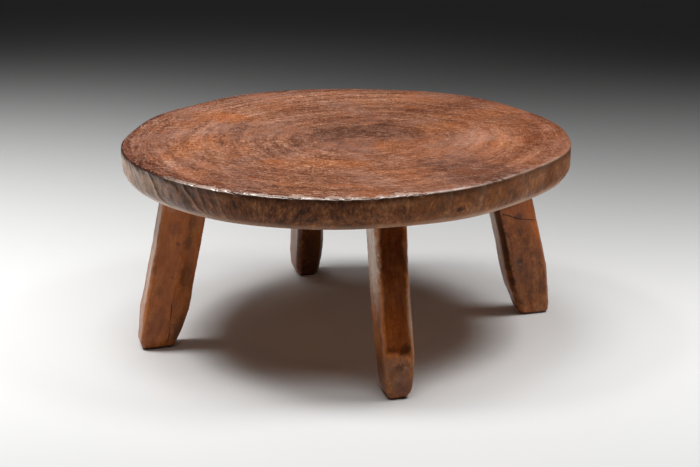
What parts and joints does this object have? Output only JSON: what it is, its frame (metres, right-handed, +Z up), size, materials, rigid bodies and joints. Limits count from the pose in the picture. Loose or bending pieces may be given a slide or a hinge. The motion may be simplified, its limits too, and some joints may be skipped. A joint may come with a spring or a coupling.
{
  "type": "low round table",
  "caption": "Low round table of solid wood: a thick tree-trunk slab on splayed, hand-hewn legs that taper to small flat feet.",
  "frame": {"origin": "on the floor, under the middle of the slab's outline", "axes": "+Z up, +X to the right and -Y towards the viewer as the picture shows the table"},
  "size_m": [0.9304, 0.9252, 0.42],
  "materials": {
    "slab_wood": "waxed reddish-brown hardwood end grain with growth rings, hewn dark rim",
    "leg_wood": "waxed orange-brown hardwood along the grain, adze facets with worn corners",
    "wedge_wood": "bare split hardwood"
  },
  "bodies": {
    "root": {"table_top": "slab_wood", "leg_right": "leg_wood", "leg_back": "leg_wood", "leg_left": "leg_wood", "leg_front": "leg_wood", "wedge_right": "wedge_wood", "wedge_back": "wedge_wood", "wedge_left": "wedge_wood", "wedge_front": "wedge_wood"}
  },
  "joints": []
}
